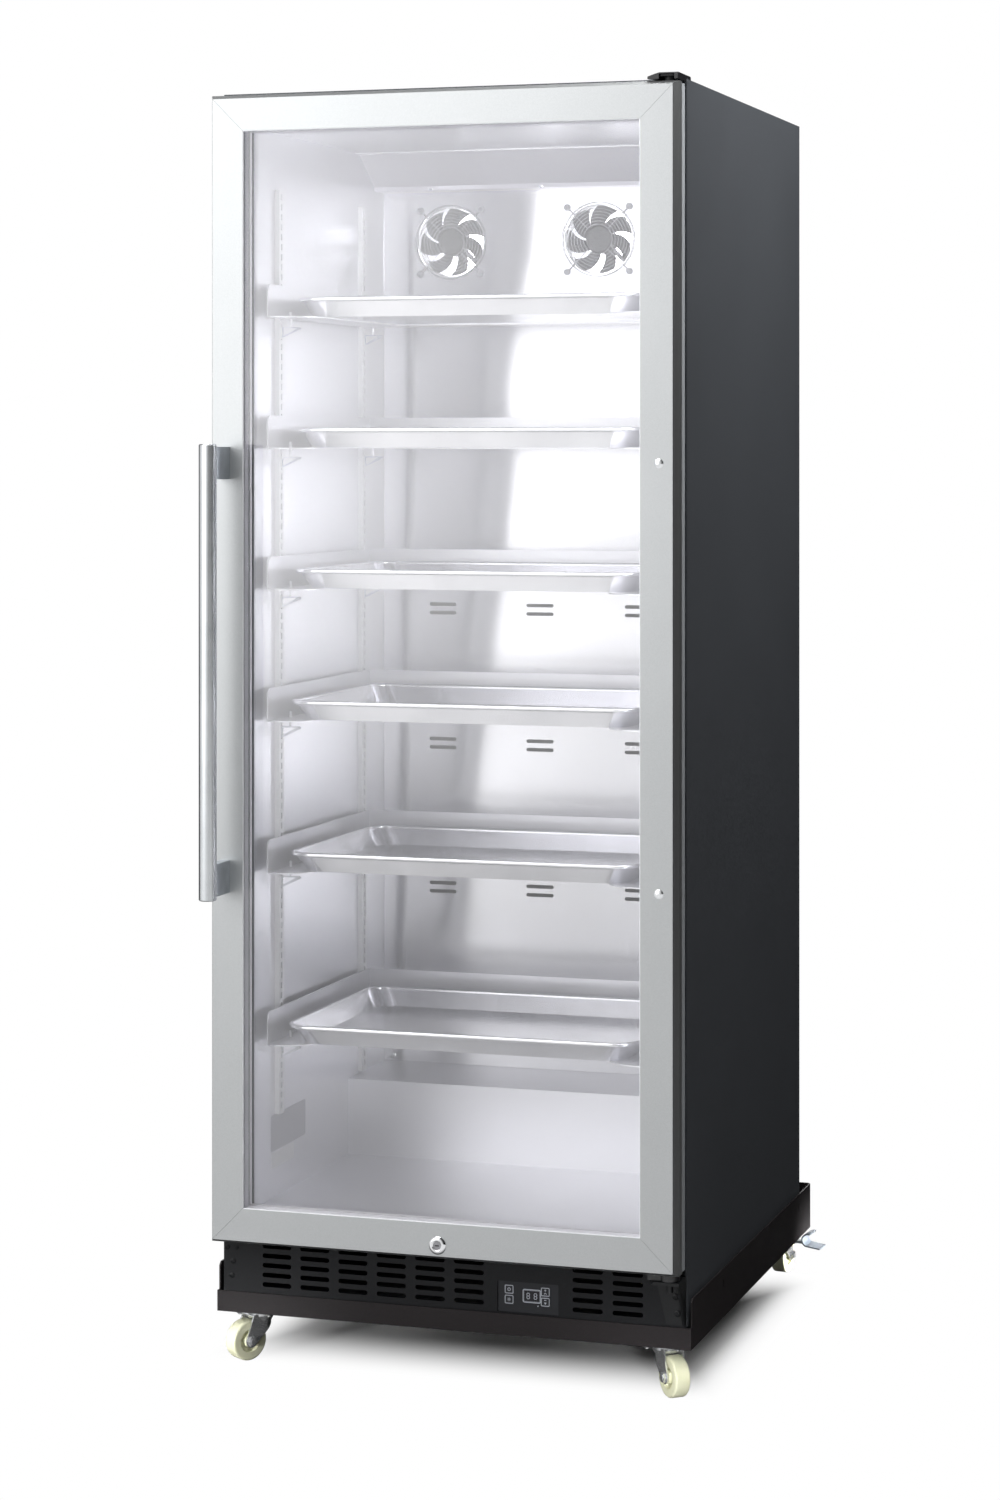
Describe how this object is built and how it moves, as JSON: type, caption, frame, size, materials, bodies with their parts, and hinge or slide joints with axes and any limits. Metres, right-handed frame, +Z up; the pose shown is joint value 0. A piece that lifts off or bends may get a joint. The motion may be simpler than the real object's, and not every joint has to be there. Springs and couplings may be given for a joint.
{
  "type": "beverage merchandiser",
  "caption": "Upright glass-door refrigerated merchandiser with sheet-pan racks, fan-cooled stainless interior, front grille with controls, and a dolly on casters.",
  "frame": {"origin": "on the floor, under the middle of the whole assembly's bounding box with the door closed", "axes": "+Z up; -Y out of the door, towards the user; +X to the right as the user sees it, the side of the hinges"},
  "size_m": [0.654, 0.8024, 1.5954],
  "materials": {
    "charcoal_paint": "satin",
    "black_paint": "satin",
    "dolly_paint": "satin",
    "liner_steel": "satin",
    "rack_steel": "polished",
    "pan_aluminium": "polished",
    "zinc_steel": "polished",
    "frame_aluminium": "satin",
    "spacer_aluminium": "satin",
    "handle_steel": "satin",
    "chrome_lock": "polished",
    "clear_glass": "gloss",
    "grey_rubber": "matte",
    "foam": "matte",
    "black_plastic": "satin",
    "fan_plastic": "satin",
    "key_plastic": "satin",
    "lamp_plastic": "satin",
    "coil_metal": "satin",
    "compressor_paint": "gloss",
    "nylon": "satin",
    "pedal_grey": "satin"
  },
  "bodies": {
    "cabinet": {"cabinet_shell": "charcoal_paint", "inner_liner": "liner_steel", "insulation_foam": "foam", "rear_cover": "black_paint", "duct_panel": "liner_steel", "ceiling_baffle": "liner_steel", "evaporator_coil": "coil_metal", "fan_guards": "zinc_steel", "fan_housings": "black_plastic", "compressor": "compressor_paint", "condenser": "coil_metal", "grille_panel": "black_paint", "control_panel": "black_plastic", "light_strip": "lamp_plastic", "top_hinge_cover": "black_plastic", "hinge_brackets": "black_paint", "shelf_standards": "rack_steel", "shelf_clips": "zinc_steel", "pan_rack_1": "rack_steel", "pan_rack_2": "rack_steel", "pan_rack_3": "rack_steel", "pan_rack_4": "rack_steel", "pan_rack_5": "rack_steel", "pan_rack_6": "rack_steel", "dolly_tray": "dolly_paint", "caster_plates": "zinc_steel"},
    "door": {"door_stiles": "frame_aluminium", "door_rails": "frame_aluminium", "hinge_shoe": "black_plastic", "glass_panes": "clear_glass", "glazing_spacer": "spacer_aluminium", "door_gasket": "grey_rubber", "handle_bar": "handle_steel", "handle_brackets": "handle_steel", "hole_plugs": "frame_aluminium", "lock_body": "chrome_lock"},
    "lock": {"lock_plug": "chrome_lock"},
    "left_fan": {"fan_rotor_left": "fan_plastic"},
    "right_fan": {"fan_rotor_right": "fan_plastic"},
    "condenser_fan": {"condenser_fan_rotor": "fan_plastic"},
    "pan_1": {"sheet_pan_1": "pan_aluminium"},
    "pan_2": {"sheet_pan_2": "pan_aluminium"},
    "pan_3": {"sheet_pan_3": "pan_aluminium"},
    "pan_4": {"sheet_pan_4": "pan_aluminium"},
    "pan_5": {"sheet_pan_5": "pan_aluminium"},
    "pan_6": {"sheet_pan_6": "pan_aluminium"},
    "power_key": {"power_button": "key_plastic"},
    "light_key": {"light_button": "key_plastic"},
    "up_key": {"up_button": "key_plastic"},
    "down_key": {"down_button": "key_plastic"},
    "fork_front_left": {"caster_fork_front_left": "zinc_steel"},
    "wheel_front_left": {"caster_wheel_front_left": "nylon"},
    "fork_front_right": {"caster_fork_front_right": "zinc_steel"},
    "wheel_front_right": {"caster_wheel_front_right": "nylon"},
    "fork_rear_left": {"caster_fork_rear_left": "zinc_steel"},
    "wheel_rear_left": {"caster_wheel_rear_left": "nylon"},
    "brake_rear_left": {"brake_lever_rear_left": "pedal_grey"},
    "fork_rear_right": {"caster_fork_rear_right": "zinc_steel"},
    "wheel_rear_right": {"caster_wheel_rear_right": "nylon"},
    "brake_rear_right": {"brake_lever_rear_right": "pedal_grey"}
  },
  "joints": [
    {"name": "door_hinge", "type": "hinge", "parent": "cabinet", "child": "door", "pos_m": [0.286, -0.31225, 0.16], "axis": [0, 0, 1], "range_deg": [0, 110]},
    {"name": "lock_turn", "type": "hinge", "parent": "door", "child": "lock", "pos_m": [0, -0.33425, 0.1783], "axis": [0, 1, 0], "range_deg": [0, 90]},
    {"name": "left_fan_spin", "type": "hinge", "parent": "cabinet", "child": "left_fan", "pos_m": [-0.16, 0.20375, 1.432], "axis": [0, 1, 0], "continuous": true},
    {"name": "right_fan_spin", "type": "hinge", "parent": "cabinet", "child": "right_fan", "pos_m": [0.052, 0.20375, 1.432], "axis": [0, 1, 0], "continuous": true},
    {"name": "condenser_fan_spin", "type": "hinge", "parent": "cabinet", "child": "condenser_fan", "pos_m": [0.122, 0.15975, 0.156], "axis": [0, 1, 0], "continuous": true},
    {"name": "pan_1_slide", "type": "slide", "parent": "cabinet", "child": "pan_1", "axis": [0, -1, 0], "range_m": [-0.009, 0.065]},
    {"name": "pan_2_slide", "type": "slide", "parent": "cabinet", "child": "pan_2", "axis": [0, -1, 0], "range_m": [-0.012, 0.062]},
    {"name": "pan_3_slide", "type": "slide", "parent": "cabinet", "child": "pan_3", "axis": [0, -1, 0], "range_m": [-0.016, 0.058]},
    {"name": "pan_4_slide", "type": "slide", "parent": "cabinet", "child": "pan_4", "axis": [0, -1, 0], "range_m": [-0.028, 0.046]},
    {"name": "pan_5_slide", "type": "slide", "parent": "cabinet", "child": "pan_5", "axis": [0, -1, 0], "range_m": [-0.032, 0.042]},
    {"name": "pan_6_slide", "type": "slide", "parent": "cabinet", "child": "pan_6", "axis": [0, -1, 0], "range_m": [-0.038, 0.036]},
    {"name": "power_key_press", "type": "slide", "parent": "cabinet", "child": "power_key", "axis": [0, 1, 0], "range_m": [0, 0.0005], "stiffness_N_per_m": 2000, "springref_m": -0.0002},
    {"name": "light_key_press", "type": "slide", "parent": "cabinet", "child": "light_key", "axis": [0, 1, 0], "range_m": [0, 0.0005], "stiffness_N_per_m": 2000, "springref_m": -0.0002},
    {"name": "up_key_press", "type": "slide", "parent": "cabinet", "child": "up_key", "axis": [0, 1, 0], "range_m": [0, 0.0005], "stiffness_N_per_m": 2000, "springref_m": -0.0002},
    {"name": "down_key_press", "type": "slide", "parent": "cabinet", "child": "down_key", "axis": [0, 1, 0], "range_m": [0, 0.0005], "stiffness_N_per_m": 2000, "springref_m": -0.0002},
    {"name": "swivel_front_left", "type": "hinge", "parent": "cabinet", "child": "fork_front_left", "pos_m": [-0.265, -0.24925, 0.058], "axis": [0, 0, 1], "continuous": true},
    {"name": "roll_front_left", "type": "hinge", "parent": "fork_front_left", "child": "wheel_front_left", "pos_m": [-0.2773, -0.26749, 0.025], "axis": [0.829, -0.5592, 0], "continuous": true},
    {"name": "swivel_front_right", "type": "hinge", "parent": "cabinet", "child": "fork_front_right", "pos_m": [0.265, -0.24925, 0.058], "axis": [0, 0, 1], "continuous": true},
    {"name": "roll_front_right", "type": "hinge", "parent": "fork_front_right", "child": "wheel_front_right", "pos_m": [0.27943, -0.26585, 0.025], "axis": [0.7547, 0.6561, 0], "continuous": true},
    {"name": "swivel_rear_left", "type": "hinge", "parent": "cabinet", "child": "fork_rear_left", "pos_m": [-0.265, 0.35375, 0.058], "axis": [0, 0, 1], "continuous": true},
    {"name": "roll_rear_left", "type": "hinge", "parent": "fork_rear_left", "child": "wheel_rear_left", "pos_m": [-0.2673, 0.37563, 0.025], "axis": [-0.9945, -0.1045, 0], "continuous": true},
    {"name": "brake_rear_left", "type": "hinge", "parent": "fork_rear_left", "child": "brake_rear_left", "pos_m": [-0.28546, 0.36668, 0.046], "axis": [0.1045, -0.9945, 0], "range_deg": [0, 8]},
    {"name": "swivel_rear_right", "type": "hinge", "parent": "cabinet", "child": "fork_rear_right", "pos_m": [0.265, 0.35375, 0.058], "axis": [0, 0, 1], "continuous": true},
    {"name": "roll_rear_right", "type": "hinge", "parent": "fork_rear_right", "child": "wheel_rear_right", "pos_m": [0.2673, 0.37563, 0.025], "axis": [-0.9945, 0.1045, 0], "continuous": true},
    {"name": "brake_rear_right", "type": "hinge", "parent": "fork_rear_right", "child": "brake_rear_right", "pos_m": [0.28546, 0.36668, 0.046], "axis": [0.1045, 0.9945, 0], "range_deg": [0, 8]}
  ]
}
